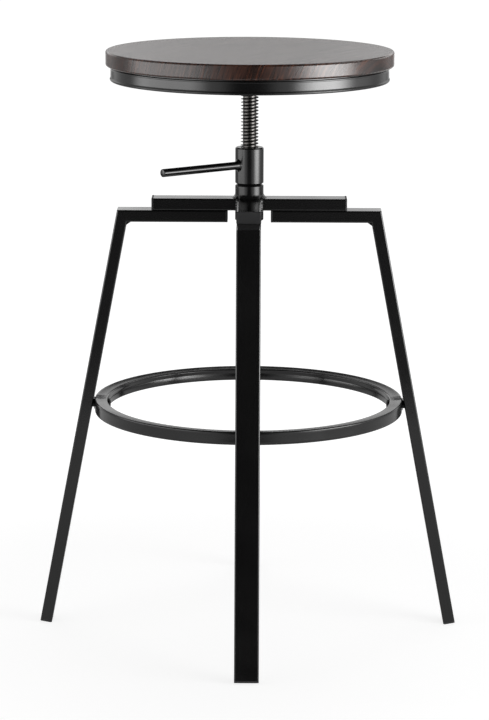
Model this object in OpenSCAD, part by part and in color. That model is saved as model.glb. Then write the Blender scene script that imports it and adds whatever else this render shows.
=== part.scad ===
// Height-adjustable bar stool: a round timber seat on a lead screw, with a lever-locked sleeve,
// four bolted tube legs and a footrest ring.
// Origin on the floor under the middle of the seat, +Z up, the front leg towards -Y. Millimetres.

/* [Seat] */
// Height of the top of the seat above the floor, as the screw stands in the photo
seat_height = 626; // [600:1:680]
// Diameter of the round timber seat
seat_d = 304.8; // [280:0.1:360]
// Thickness of the timber
seat_t = 16; // [14:0.5:25]
// Radius that rounds the two edges of the timber
seat_edge_r = 2; // [1:0.5:6]
// How far the timber stands out past the lip of the steel pan
seat_overhang = 4.4; // [2:0.1:12]

/* [Seat pan] */
// Height of the steel pan, from its lip to the timber
pan_h = 15.5; // [12:0.5:24]
// Thickness of the pan's flat sheet
pan_sheet = 1.5; // [1:0.1:2.5]
// Thickness of the pan's skirt where it is not waisted
skirt_t = 3.4; // [3:0.1:5]
// Depth of the skirt's waist
waist_depth = 0.8; // [0.4:0.1:2]
// Radius of the rolled lip along the bottom of the skirt
lip_r = 1.7; // [1:0.1:2.5]
// Radius of the bend between the skirt and the flat sheet
pan_edge_r = 1.2; // [0.6:0.1:2]

/* [Seat plate] */
// Diameter of the plate that the lead screw is welded to
plate_d = 140; // [100:1:180]
// Thickness of that plate
plate_t = 4; // [3:0.5:6]
// Diameter of the circle that the plate's screws lie on
plate_screw_circle = 110; // [70:1:140]
// Diameter of the circle that the pan's own screws lie on
pan_screw_circle = 250; // [190:1:260]

/* [Lead screw] */
// Diameter over the thread's crests
screw_d = 19; // [16:0.5:20]
// Rise of the seat in one turn
screw_pitch = 3.5; // [2.5:0.5:5]
// Depth of the thread
thread_depth = 2.4; // [1:0.1:2.6]
// Radial running clearance between the thread's crests and a bore round them
thread_clearance = 0.06; // [0.02:0.01:0.1]
// How far the seat can still rise before the stop washer meets the hub
lift_up = 136.5; // [80:0.5:150]

/* [Lock sleeve and lever] */
// Height of the lock sleeve
sleeve_h = 39.2; // [28:0.1:45]
// Diameter of the lever's round rod
lever_d = 8.6; // [6:0.1:10]
// Distance from the screw's axis to the lever's tip
lever_reach = 114.5; // [80:0.5:125]
// Height of the lever's axis above the foot of the sleeve
lever_rise = 20.6; // [14:0.1:24]
// Direction in which the lever points, counted from the right
lever_angle = 218; // [200:1:250]
// Depth of the groove that shows where the sleeve meets the hub
groove_depth = 2; // [1:0.1:3]
// Height of the half of that groove that is in each of them
groove_rise = 1.5; // [0.5:0.1:2]

/* [Hub and arms] */
// Outer diameter of the hub, and of the sleeve on it
hub_d = 30.5; // [28:0.5:34]
// Height of the hub's collar above the arms
hub_collar = 14.4; // [10:0.1:25]
// How far the hub reaches below the arms
hub_tail = 11.6; // [4:0.1:12]
// Reach of an arm from the axis, its end cap included
arm_reach = 104; // [95:0.5:115]

/* [Tube] */
// Width of the rectangular tube of the arms and legs
tube_w = 25.4; // [22:0.1:30]
// Thickness of that tube
tube_t = 12.7; // [12:0.1:16]
// Wall of that tube
tube_wall = 1.5; // [1:0.1:2]
// Radius of the tube's outer corners
tube_corner_r = 1.6; // [1.6:0.1:3]

/* [Legs] */
// Height of the face on which an arm lies on a leg
joint_z = 456.6; // [430:0.1:480]
// Distance from the axis to the outer corner of a leg's fold
fold_reach = 140.7; // [130:0.1:160]
// Angle of a leg from the vertical
splay = 10.75; // [6:0.25:14]
// Distance from the axis to the inner end of a leg, its plug included
leg_start = 23; // [20:0.5:28]
// Length of the bevel inside the fold
fold_bevel = 4.2; // [1:0.1:6]

/* [Footrest ring] */
// Height of the ring's top face
ring_top_z = 251; // [180:0.1:300]
// Side of the ring's square tube
ring_tube = 14; // [10:0.1:16]
// Wall of the ring's tube
ring_wall = 1.2; // [1:0.1:2]
// Gap between the ring and the leg, level with the ring's top face
ring_gap = 0.8; // [0.5:0.1:2]
// Depth to which rolling the ring has pulled in its inner wall
ring_dish = 1.2; // [0.4:0.1:2]
// Depth to which it has pulled in the top and bottom walls
ring_sag = 0.4; // [0.1:0.1:0.8]

/* [Plastic caps] */
// Thickness of a cap's visible flange
cap_flange = 2; // [1.5:0.1:3]
// Depth to which a cap's plug fills the tube
cap_plug = 12; // [8:0.5:16]
// Height that is worn flat off a foot cap's lowest edge
foot_land = 0.3; // [0.2:0.05:0.5]

/* [Fasteners] */
// Diameter of the machine bolts
bolt_d = 6; // [5:0.5:6]
// Clearance between a leg bolt's nut and the plug in the tube's end
nut_clearance = 1.7; // [1:0.1:4]
// Diameter of the screws that hold the plate to the timber
plate_screw_d = 5; // [4:0.5:6]
// Diameter of the screws that hold the pan to the timber
pan_screw_d = 4; // [3:0.5:4.5]

/* [Hidden] */
$fn = 64;

// Clearances
fixed_fit = 0.03;
hole_slack = 0.25;
face_gap = 0.3;
shoulder_slack = 0.05;
cap_slack = 0.1;
over = 1;

// The four directions of the arms and legs
AZIMUTHS = [for (turn = [0 : 3]) turn * 90];
RIGHT = AZIMUTHS[0];
REAR = AZIMUTHS[1];
LEFT = AZIMUTHS[2];
FRONT = AZIMUTHS[3];

// Heights that follow from the seat and the joint faces
timber_z = seat_height - seat_t;
pan_z = timber_z - pan_h;
plate_top_z = timber_z - pan_sheet;
plate_z = plate_top_z - plate_t;
hub_z = joint_z - hub_tail;
hub_top_z = joint_z + tube_t + hub_collar;
sleeve_z = hub_top_z + face_gap;
pan_r = seat_d / 2 - seat_overhang;
bore_r = screw_d / 2 + thread_clearance;

// The lead screw's end, with the stop washer that meets the hub when the seat is fully up
washer_t = 3;
washer_d = screw_d + 5;
washer_axial_slack = 0.2;
washer_top_z = hub_z - face_gap - lift_up;
screw_end_z = washer_top_z + washer_axial_slack;
journal_d = screw_d - 2;
thread_crest = 0.22;
stop_shank_d = 8;
stop_shoulder_d = 10;
stop_shank_len = 20;
stop_head_t = 4;
stop_head_d = 15;

// A leg in its own upright plane: x runs outwards from the axis, y is the height
down = [sin(splay), -cos(splay)];
outward = [cos(splay), sin(splay)];
fold_outer = [fold_reach, joint_z];
fold_inner_run = tube_t * (1 - sin(splay)) / cos(splay);
fold_inner = fold_outer - outward * tube_t + down * fold_inner_run;
mitre = (fold_outer - fold_inner) / norm(fold_outer - fold_inner);
leg_run = (joint_z - tube_t * sin(splay) + foot_land) / cos(splay);
// Distance of a leg's inner face from the axis at a given height
function leg_face(z) = fold_outer[0] - outward[0] * tube_t
    + down[0] * (joint_z - tube_t * sin(splay) - z) / cos(splay);

ring_r = leg_face(ring_top_z) - ring_gap;
ring_z = ring_top_z - ring_tube;
ring_bolt_z = ring_top_z - ring_tube / 2;
ring_nut_d = 8.8;
ring_nut_flange_d = ring_tube - 0.7;
ring_nut_flange_t = ring_gap - 0.1;
ring_nut_len = 10;

// Bolt heads and nuts
head_d = 2 * bolt_d;
leg_head_t = 1.2;
button_d = 1.75 * bolt_d;
button_t = 2.8;
nut_across = bolt_d * 5 / 3;
nut_t = 5;
bolt_inset = cap_flange + cap_plug + nut_across / cos(30) / 2 + nut_clearance;
leg_bolt_reach = [leg_start + bolt_inset, arm_reach - bolt_inset];
button_seat = sqrt(pow(ring_r - ring_tube, 2) - pow(button_d / 2, 2)) - fixed_fit;
socket_across = bolt_d * 2 / 3;

BLACK = "#1d1d1f";
GRAPHITE = "#5b5c60";
STEEL = "#8c8a86";
PLASTIC = "#38383a";
TIMBER = "#4b3026";

// Shapes that repeat

module rounded_rect(w, h, r) {
    square([w - 2 * r, h], center = true);
    square([w, h - 2 * r], center = true);
    for (x = [-1, 1]) for (y = [-1, 1])
        translate([x * (w / 2 - r), y * (h / 2 - r)]) circle(r);
}

// A bar along +X, its width along Y and its thickness along Z
module bar(length, w, t, r) {
    rotate([90, 0, 90]) linear_extrude(length) rounded_rect(w, t, r);
}

module tube_outside(length) {
    bar(length, tube_w, tube_t, tube_corner_r);
}

module tube_inside(length, slack = 0) {
    lost = 2 * (tube_wall + slack);
    bar(length, tube_w - lost, tube_t - lost, tube_corner_r / 2);
}

// A flange that covers a tube's end at x = 0, and a plug that goes the other way into the tube
module cap_for_tube(flange, plug) {
    tube_outside(flange);
    translate([-plug, 0, 0]) tube_inside(plug + flange / 2, cap_slack);
}

// Moves a bar's start to a point of the leg's plane and turns it down the leg
module along_leg(start) {
    centre = start - outward * tube_t / 2;
    translate([centre[0], 0, centre[1]]) rotate([0, 90 - splay, 0]) children();
}

// Everything on one side of the fold's mitre: side -1 is towards the axis, +1 away from it
module beside_mitre(side) {
    far = 700;
    top = fold_outer + mitre * far;
    bottom = fold_inner - mitre * far;
    rotate([90, 0, 0]) translate([0, 0, -tube_w]) linear_extrude(2 * tube_w)
        polygon([top, bottom, bottom + [side * far, 0], top + [side * far, 0]]);
}

module leg_path(inside) {
    flat_start = leg_start + cap_flange - (inside ? over : 0);
    flat_len = fold_reach + tube_t - flat_start;
    slope_len = leg_run - cap_flange + tube_t + (inside ? over : 0);
    intersection() {
        translate([flat_start, 0, joint_z - tube_t / 2])
            if (inside) tube_inside(flat_len); else tube_outside(flat_len);
        beside_mitre(-1);
    }
    intersection() {
        along_leg(fold_outer - down * tube_t)
            if (inside) tube_inside(slope_len); else tube_outside(slope_len);
        beside_mitre(1);
    }
}

// The bevelled web that closes the inside of the fold
module fold_web() {
    along = fold_inner + [-fold_bevel, 0];
    beyond = fold_inner + down * fold_bevel * 0.8;
    deep = fold_inner + mitre * tube_wall * 0.8;
    rotate([90, 0, 0]) translate([0, 0, -tube_w / 2 + tube_corner_r])
        linear_extrude(tube_w - 2 * tube_corner_r)
            polygon([along, beyond, beyond + outward * tube_wall / 2, deep, along + [0, tube_wall / 2]]);
}

module leg_tube() {
    difference() {
        union() {
            difference() {
                leg_path(false);
                leg_path(true);
            }
            fold_web();
        }
        for (reach = leg_bolt_reach)
            translate([reach, 0, joint_z - tube_t - over])
                cylinder(d = bolt_d + 2 * hole_slack, h = tube_t + 2 * over);
        translate([ring_r, 0, ring_bolt_z]) rotate([0, 90, 0])
            cylinder(d = ring_nut_d + 2 * fixed_fit, h = tube_t - tube_wall);
    }
}

// Starts beyond the hub's wall, and is mitred where neighbouring arms would meet
module arm_tube() {
    length = arm_reach - cap_flange;
    difference() {
        intersection() {
            translate([0, 0, joint_z + tube_t / 2]) tube_outside(length);
            translate([0, 0, joint_z - over]) linear_extrude(tube_t + 2 * over)
                polygon([[face_gap / 4, 0], [arm_reach, arm_reach], [arm_reach, -arm_reach]]);
        }
        translate([0, 0, joint_z + tube_t / 2]) tube_inside(length + over);
        translate([0, 0, joint_z - over]) cylinder(r = hub_d / 2 + fixed_fit, h = tube_t + 2 * over);
        for (reach = leg_bolt_reach)
            translate([reach, 0, joint_z - over])
                cylinder(d = bolt_d + 2 * hole_slack, h = tube_wall + 2 * over);
    }
}

module arm_cap() {
    translate([arm_reach - cap_flange, 0, joint_z + tube_t / 2]) cap_for_tube(cap_flange, cap_plug);
}

module leg_plug() {
    translate([leg_start + cap_flange, 0, joint_z - tube_t / 2])
        mirror([1, 0, 0]) cap_for_tube(cap_flange, cap_plug);
}

module foot_cap() {
    difference() {
        along_leg(fold_outer + down * (leg_run - cap_flange)) cap_for_tube(cap_flange, cap_plug);
        translate([0, -tube_w, -tube_t]) cube([2 * fold_reach, 2 * tube_w, tube_t]);
    }
}

module hex_prism(across, h) {
    cylinder(d = across / cos(30), h = h, $fn = 6);
}

module nut(across, h, bore) {
    difference() {
        hex_prism(across, h);
        translate([0, 0, -over]) cylinder(d = bore, h = h + 2 * over);
    }
}

// A domed head at z <= 0 with its shank along +Z
module headed_screw(d, length, head, head_t, socket) {
    crown_d = head * 0.62;
    difference() {
        union() {
            cylinder(d = d, h = length);
            translate([0, 0, -head_t / 2]) cylinder(d = head, h = head_t / 2);
            translate([0, 0, -head_t]) cylinder(d1 = crown_d, d2 = head, h = head_t / 2);
        }
        translate([0, 0, -head_t - over]) hex_prism(socket, over + head_t * 0.6 + d / 6);
    }
}

// A turned ring with a plain wall and a bevel outside at each end, given as its depth and its rise
module turned_collar(outer, bore, h, top, bottom) {
    r = outer / 2;
    rotate_extrude() polygon([
        [bore, 0], [r - bottom[0], 0], [r, bottom[1]],
        [r, h - top[1]], [r - top[0], h], [bore, h]
    ]);
}

// Sub-parts

module seat_top() {
    r = seat_d / 2;
    inner = r - seat_edge_r;
    color(TIMBER) difference() {
        translate([0, 0, timber_z]) rotate_extrude($fn = 180) {
            square([inner, seat_t]);
            translate([0, seat_edge_r]) square([r, seat_t - 2 * seat_edge_r]);
            for (z = [seat_edge_r, seat_t - seat_edge_r]) translate([inner, z]) circle(seat_edge_r);
        }
        for (turn = AZIMUTHS) rotate(turn + 45) {
            translate([plate_screw_circle / 2, 0, timber_z - over])
                cylinder(d = plate_screw_d + 2 * fixed_fit, h = over + seat_t * 0.7);
            translate([pan_screw_circle / 2, 0, timber_z - over])
                cylinder(d = pan_screw_d + 2 * fixed_fit, h = over + seat_t * 0.7);
        }
    }
}

module seat_pan() {
    waist_h = pan_h - 2 * lip_r;
    waist_r = (pow(waist_h / 2, 2) + pow(waist_depth, 2)) / (2 * waist_depth);
    color(GRAPHITE) difference() {
        translate([0, 0, pan_z]) rotate_extrude($fn = 180) {
            translate([0, pan_h - pan_sheet]) square([pan_r - skirt_t / 2, pan_sheet]);
            translate([pan_r - lip_r, lip_r]) circle(lip_r);
            difference() {
                translate([pan_r - skirt_t, lip_r]) union() {
                    square([skirt_t, pan_h - lip_r - pan_edge_r]);
                    square([skirt_t - pan_edge_r, pan_h - lip_r]);
                    translate([skirt_t - pan_edge_r, pan_h - lip_r - pan_edge_r]) circle(pan_edge_r);
                }
                translate([pan_r + waist_r - waist_depth, lip_r * 1.4 + waist_h / 2]) circle(waist_r);
            }
        }
        for (turn = AZIMUTHS) rotate(turn + 45) {
            translate([plate_screw_circle / 2, 0, plate_top_z - over])
                cylinder(d = plate_screw_d + 2 * hole_slack, h = pan_sheet + 2 * over);
            translate([pan_screw_circle / 2, 0, plate_top_z - over])
                cylinder(d = pan_screw_d + 2 * hole_slack, h = pan_sheet + 2 * over);
        }
    }
}

module seat_plate() {
    color(GRAPHITE) difference() {
        translate([0, 0, plate_z]) cylinder(d = plate_d, h = plate_t, $fn = 128);
        translate([0, 0, plate_z - over]) cylinder(d = journal_d + 2 * fixed_fit, h = plate_t + 2 * over);
        for (turn = AZIMUTHS) rotate(turn + 45)
            translate([plate_screw_circle / 2, 0, plate_z - over])
                cylinder(d = plate_screw_d + 2 * hole_slack, h = plate_t + 2 * over);
    }
}

module seat_plate_screws() {
    color(STEEL) for (turn = AZIMUTHS) rotate(turn + 45)
        translate([plate_screw_circle / 2, 0, plate_z])
            headed_screw(plate_screw_d, plate_t + pan_sheet + seat_t * 0.65,
                2 * plate_screw_d, plate_screw_d * 0.6, plate_screw_d * 0.6);
}

module pan_screws() {
    color(STEEL) for (turn = AZIMUTHS) rotate(turn + 45)
        translate([pan_screw_circle / 2, 0, plate_top_z])
            headed_screw(pan_screw_d, pan_sheet + seat_t * 0.65,
                2 * pan_screw_d, pan_screw_d * 0.5, pan_screw_d * 0.6);
}

// The thread is drawn as level ridges at the real pitch, with its crests at the full diameter
module lead_screw() {
    crest_r = screw_d / 2;
    root_r = crest_r - thread_depth;
    journal_r = journal_d / 2;
    crest = screw_pitch * thread_crest;
    threaded = plate_z - screw_pitch / 2 - screw_end_z;
    turns = floor(threaded / screw_pitch);
    start = threaded - turns * screw_pitch;
    ridges = [
        for (turn = [0 : turns - 1])
            let (z = start + turn * screw_pitch)
                each [
                    [root_r, z + crest / 2],
                    [crest_r, z + screw_pitch / 2 - crest / 2],
                    [crest_r, z + screw_pitch / 2 + crest / 2],
                    [root_r, z + screw_pitch - crest / 2]
                ]
    ];
    top = plate_z - screw_end_z;
    color(STEEL) difference() {
        translate([0, 0, screw_end_z]) rotate_extrude()
            polygon(concat(
                [[0, 0], [root_r - 1, 0], [root_r, min(1, start / 2)]], ridges,
                [[root_r, threaded], [root_r, top], [journal_r, top],
                 [journal_r, top + plate_t - fixed_fit], [0, top + plate_t - fixed_fit]]
            ));
        translate([0, 0, screw_end_z - over])
            cylinder(d = stop_shank_d + 2 * fixed_fit, h = stop_shank_len + 2 * over);
    }
}

module stop_washer() {
    color(STEEL) translate([0, 0, washer_top_z - washer_t]) difference() {
        cylinder(d = washer_d, h = washer_t);
        translate([0, 0, -over]) cylinder(d = stop_shoulder_d + 2 * shoulder_slack, h = washer_t + 2 * over);
    }
}

module stop_bolt() {
    shoulder_t = washer_t + 2 * washer_axial_slack;
    color(STEEL) translate([0, 0, screw_end_z]) {
        translate([0, 0, -shoulder_t]) cylinder(d = stop_shoulder_d, h = shoulder_t);
        translate([0, 0, -shoulder_t - stop_head_t]) hex_prism(stop_head_d * cos(30), stop_head_t);
        cylinder(d = stop_shank_d, h = stop_shank_len);
    }
}

module lock_sleeve() {
    color(GRAPHITE) difference() {
        translate([0, 0, sleeve_z]) turned_collar(hub_d, bore_r, sleeve_h, [1.2, 1.2], [groove_depth, groove_rise]);
        rotate(lever_angle) translate([bore_r + tube_wall, 0, sleeve_z + lever_rise])
            rotate([0, 90, 0]) cylinder(d = lever_d + 2 * fixed_fit, h = hub_d);
    }
}

// A straight rod with a chamfered tip, and the fillet where it is welded into the sleeve
module lock_lever() {
    root = bore_r + tube_wall + fixed_fit;
    tip_chamfer = 0.8;
    fillet = 2.8;
    color(BLACK) rotate(lever_angle) translate([0, 0, sleeve_z + lever_rise]) {
        translate([root, 0, 0]) rotate([0, 90, 0])
            cylinder(d = lever_d, h = lever_reach - root - tip_chamfer);
        translate([lever_reach - tip_chamfer, 0, 0]) rotate([0, 90, 0])
            cylinder(d1 = lever_d, d2 = lever_d - 2 * tip_chamfer, h = tip_chamfer);
        difference() {
            translate([hub_d / 2 - fillet, 0, 0]) rotate([0, 90, 0])
                cylinder(d1 = lever_d + 3 * fillet, d2 = lever_d, h = 2 * fillet);
            translate([0, 0, -hub_d]) cylinder(r = hub_d / 2 + fixed_fit, h = 2 * hub_d);
        }
    }
}

module hub() {
    color(GRAPHITE) translate([0, 0, hub_z])
        turned_collar(hub_d, bore_r, hub_top_z - hub_z, [groove_depth, groove_rise], [0.8, 0.8]);
}

module arm_front() { color(BLACK) rotate(FRONT) arm_tube(); }
module arm_right() { color(BLACK) rotate(RIGHT) arm_tube(); }
module arm_rear() { color(BLACK) rotate(REAR) arm_tube(); }
module arm_left() { color(BLACK) rotate(LEFT) arm_tube(); }

module arm_cap_front() { color(PLASTIC) rotate(FRONT) arm_cap(); }
module arm_cap_right() { color(PLASTIC) rotate(RIGHT) arm_cap(); }
module arm_cap_rear() { color(PLASTIC) rotate(REAR) arm_cap(); }
module arm_cap_left() { color(PLASTIC) rotate(LEFT) arm_cap(); }

module leg_front() { color(BLACK) rotate(FRONT) leg_tube(); }
module leg_right() { color(BLACK) rotate(RIGHT) leg_tube(); }
module leg_rear() { color(BLACK) rotate(REAR) leg_tube(); }
module leg_left() { color(BLACK) rotate(LEFT) leg_tube(); }

module leg_plug_front() { color(PLASTIC) rotate(FRONT) leg_plug(); }
module leg_plug_right() { color(PLASTIC) rotate(RIGHT) leg_plug(); }
module leg_plug_rear() { color(PLASTIC) rotate(REAR) leg_plug(); }
module leg_plug_left() { color(PLASTIC) rotate(LEFT) leg_plug(); }

module foot_cap_front() { color(PLASTIC) rotate(FRONT) foot_cap(); }
module foot_cap_right() { color(PLASTIC) rotate(RIGHT) foot_cap(); }
module foot_cap_rear() { color(PLASTIC) rotate(REAR) foot_cap(); }
module foot_cap_left() { color(PLASTIC) rotate(LEFT) foot_cap(); }

// Nuts welded inside each arm, on its lower wall
module arm_nuts() {
    color(STEEL) for (turn = AZIMUTHS) rotate(turn) for (reach = leg_bolt_reach)
        translate([reach, 0, joint_z + tube_wall]) nut(nut_across, nut_t, bolt_d + 2 * fixed_fit);
}

// Low-headed bolts that come up through each leg into its arm
module leg_bolts() {
    color(STEEL) for (turn = AZIMUTHS) rotate(turn) for (reach = leg_bolt_reach)
        translate([reach, 0, joint_z - tube_t])
            headed_screw(bolt_d, tube_t + tube_wall + nut_t + 0.5, head_d, leg_head_t, socket_across);
}

// Radius of the arc that cuts a dish of this depth into a flat of this width
function dish_r(depth, width) = (pow(width / 2, 2) + pow(depth, 2)) / (2 * depth);

// Section of the ring's tube about its middle, its inner wall at -X; skin is how far inside the surface
module ring_section(skin) {
    side = ring_tube - 2 * skin;
    flat = ring_tube - 2 * tube_corner_r;
    wall_r = dish_r(ring_dish, flat);
    face_r = dish_r(ring_sag, flat);
    difference() {
        rounded_rect(side, side, skin == 0 ? tube_corner_r : tube_corner_r / 2);
        translate([ring_dish - ring_tube / 2 - wall_r, 0]) circle(wall_r + skin, $fn = 96);
        for (up = [-1, 1])
            translate([0, up * (ring_tube / 2 - ring_sag + face_r)]) circle(face_r + skin, $fn = 128);
    }
}

module footrest_ring() {
    centre_r = ring_r - ring_tube / 2;
    color(GRAPHITE) difference() {
        translate([0, 0, ring_bolt_z]) rotate_extrude($fn = 180) translate([centre_r, 0]) difference() {
            ring_section(0);
            ring_section(ring_wall);
        }
        for (turn = AZIMUTHS) rotate(turn)
            translate([centre_r - ring_tube, 0, ring_bolt_z]) rotate([0, 90, 0])
                cylinder(d = bolt_d + 2 * hole_slack, h = 2 * ring_tube);
    }
}

// Flanged rivet nuts that stand in each leg's inner wall and keep the ring off it
module ring_nuts() {
    color(BLACK) for (turn = AZIMUTHS) rotate(turn)
        translate([ring_r, 0, ring_bolt_z]) rotate([0, 90, 0]) difference() {
            union() {
                cylinder(d = ring_nut_flange_d, h = ring_nut_flange_t);
                cylinder(d = ring_nut_d, h = ring_nut_flange_t + ring_nut_len);
            }
            translate([0, 0, -over])
                cylinder(d = bolt_d + 2 * fixed_fit, h = ring_nut_len + ring_nut_flange_t + 2 * over);
        }
}

// Button-headed bolts that go outwards through the ring into the rivet nuts
module ring_bolts() {
    color(BLACK) for (turn = AZIMUTHS) rotate(turn)
        translate([button_seat, 0, ring_bolt_z]) rotate([0, 90, 0])
            headed_screw(bolt_d, ring_r - button_seat + ring_nut_len, button_d, button_t, socket_across);
}

seat_top();
seat_pan();
seat_plate();
seat_plate_screws();
pan_screws();
lead_screw();
stop_washer();
stop_bolt();
lock_sleeve();
lock_lever();
hub();
arm_front();
arm_right();
arm_rear();
arm_left();
arm_cap_front();
arm_cap_right();
arm_cap_rear();
arm_cap_left();
leg_front();
leg_right();
leg_rear();
leg_left();
leg_plug_front();
leg_plug_right();
leg_plug_rear();
leg_plug_left();
foot_cap_front();
foot_cap_right();
foot_cap_rear();
foot_cap_left();
arm_nuts();
leg_bolts();
footrest_ring();
ring_nuts();
ring_bolts();
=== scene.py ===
# %% [markdown]
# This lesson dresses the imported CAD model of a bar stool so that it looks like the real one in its
# photograph: a dark timber seat in a steel pan, a lead screw with a locking sleeve, and a black base of
# folded tube. The CAD parts stay where they are and act as the skeleton. Each cell adds one finish, or
# builds one piece in mesh code where the real shape is finer than the CAD solid. All lengths are in
# metres, with +Z up.

# %% Load the frame
import math

import bmesh
import bpy
from mathutils import Matrix, Vector


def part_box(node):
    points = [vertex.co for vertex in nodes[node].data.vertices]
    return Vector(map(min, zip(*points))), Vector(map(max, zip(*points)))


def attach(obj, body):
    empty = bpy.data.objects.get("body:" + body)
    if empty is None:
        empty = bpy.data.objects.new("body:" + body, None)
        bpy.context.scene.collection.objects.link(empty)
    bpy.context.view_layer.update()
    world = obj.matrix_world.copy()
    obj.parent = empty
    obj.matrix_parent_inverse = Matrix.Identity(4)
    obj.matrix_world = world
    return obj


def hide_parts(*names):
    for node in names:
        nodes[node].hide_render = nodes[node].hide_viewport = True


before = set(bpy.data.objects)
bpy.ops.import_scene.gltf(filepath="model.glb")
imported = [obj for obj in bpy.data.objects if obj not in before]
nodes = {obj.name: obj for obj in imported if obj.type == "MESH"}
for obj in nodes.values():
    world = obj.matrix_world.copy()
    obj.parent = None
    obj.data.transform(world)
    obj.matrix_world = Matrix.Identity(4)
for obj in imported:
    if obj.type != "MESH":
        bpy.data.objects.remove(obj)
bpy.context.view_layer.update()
MM = 0.001
SIDES = {"right": 0, "rear": 90, "left": 180, "front": 270}

# %% [markdown]
# The camera stands where the photographer stood: three metres away, a little above the seat, with a long
# lens that looks down by almost twelve degrees. The figures come from fitting the stool's edges in the
# photograph. A long lens from far away keeps the near leg from looking much larger than the rear one, as
# in the photograph.

# %% Camera
CAMERA_TURN = 0.25
CAMERA_DISTANCE = 3.008
CAMERA_HEIGHT = 0.9195
CAMERA_PAN = 0.085
CAMERA_PITCH = 11.784
CAMERA_ROLL = 0.22
SENSOR = 36
LENS = 142.425


def place_camera():
    lens = bpy.data.cameras.new("camera")
    lens.sensor_width = SENSOR
    lens.lens = LENS
    lens.clip_start, lens.clip_end = 0.05, 100
    camera = bpy.data.objects.new("camera", lens)
    bpy.context.scene.collection.objects.link(camera)
    turn = math.radians(CAMERA_TURN)
    camera.location = (CAMERA_DISTANCE * math.sin(turn), -CAMERA_DISTANCE * math.cos(turn), CAMERA_HEIGHT)
    aim = (
        Matrix.Rotation(turn + math.radians(CAMERA_PAN), 4, "Z")
        @ Matrix.Rotation(math.radians(90 - CAMERA_PITCH), 4, "X")
        @ Matrix.Rotation(math.radians(CAMERA_ROLL), 4, "Z")
    )
    camera.rotation_euler = aim.to_euler()
    bpy.context.scene.camera = camera
    return camera


camera = place_camera()
print("camera at", [round(v, 3) for v in camera.location], "lens", round(camera.data.lens, 1), "mm")

# %% [markdown]
# Light levels, like finishes, are small sums made of nodes. These helpers write them as one line each: a
# fade from 0 to 1, a sum, a product, and a choice between two levels. The last one tells what kind of ray
# asks, so that a level can be one thing for the camera and another for a mirror.

# %% Helpers for node sums
def fade(tree, value, start, end):
    """A number that goes smoothly from 0 to 1 as value goes from start to end."""
    ramp = tree.nodes.new("ShaderNodeMapRange")
    ramp.interpolation_type = "SMOOTHSTEP"
    ramp.inputs["From Min"].default_value = start
    ramp.inputs["From Max"].default_value = end
    tree.links.new(value, ramp.inputs["Value"])
    return ramp.outputs["Result"]


def feed(tree, socket, value):
    """Links a node's output to a socket, or sets the socket to a plain value."""
    if isinstance(value, bpy.types.NodeSocket):
        tree.links.new(value, socket)
    else:
        socket.default_value = value


def calculate(tree, operation, first, second):
    node = tree.nodes.new("ShaderNodeMath")
    node.operation = operation
    feed(tree, node.inputs[0], first)
    feed(tree, node.inputs[1], second)
    return node.outputs["Value"]


def total(tree, first, *others):
    for other in others:
        first = calculate(tree, "ADD", first, other)
    return first


def product(tree, first, *others):
    for other in others:
        first = calculate(tree, "MULTIPLY", first, other)
    return first


def choose(tree, factor, off, on):
    """The level off where factor is 0, and the level on where it is 1."""
    mix = tree.nodes.new("ShaderNodeMix")
    tree.links.new(factor, mix.inputs["Factor"])
    feed(tree, mix.inputs["A"], off)
    feed(tree, mix.inputs["B"], on)
    return mix.outputs["Result"]


def axes(tree, vector):
    """The X, Y and Z of a vector, as three numbers."""
    split = tree.nodes.new("ShaderNodeSeparateXYZ")
    tree.links.new(vector, split.inputs["Vector"])
    return split.outputs["X"], split.outputs["Y"], split.outputs["Z"]


def ray_kinds(tree):
    """1 for rays seen by the camera, straight or through glass, and 1 for mirror rays."""
    path = tree.nodes.new("ShaderNodeLightPath")
    seen = calculate(tree, "MAXIMUM", path.outputs["Is Camera Ray"], path.outputs["Is Transmission Ray"])
    return seen, path.outputs["Is Glossy Ray"]


# %% [markdown]
# A product photograph has a bright screen behind the object and a dark room round the rest of it. Glossy
# black paint shows both: its level tops mirror the screen at a low angle, and its upright faces mirror the
# dark room. So the world is bright towards +Y and near the horizon, has a narrow strip light higher up
# that draws a thin line along every rounded top edge, glows dimly at both sides and at the front corners,
# and is dark elsewhere. Matt surfaces get a weak even light from it, and for the camera itself it is
# plainly white. All of it comes from the direction alone, the Generated coordinate of a world, whose Z is
# 0 at the horizon and 1 overhead.

# %% World
SCREEN_LOW = 0.25
SCREEN_RISE = 0.75
SCREEN_WINGS = 0.45
STRIP = 1.2
SIDE_GLOW = 0.42
FRONT_GLOW = 0.4
ROOM = 0.015
ROOM_FLOOR = 0.12
SOFT_LIGHT = 0.2


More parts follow.
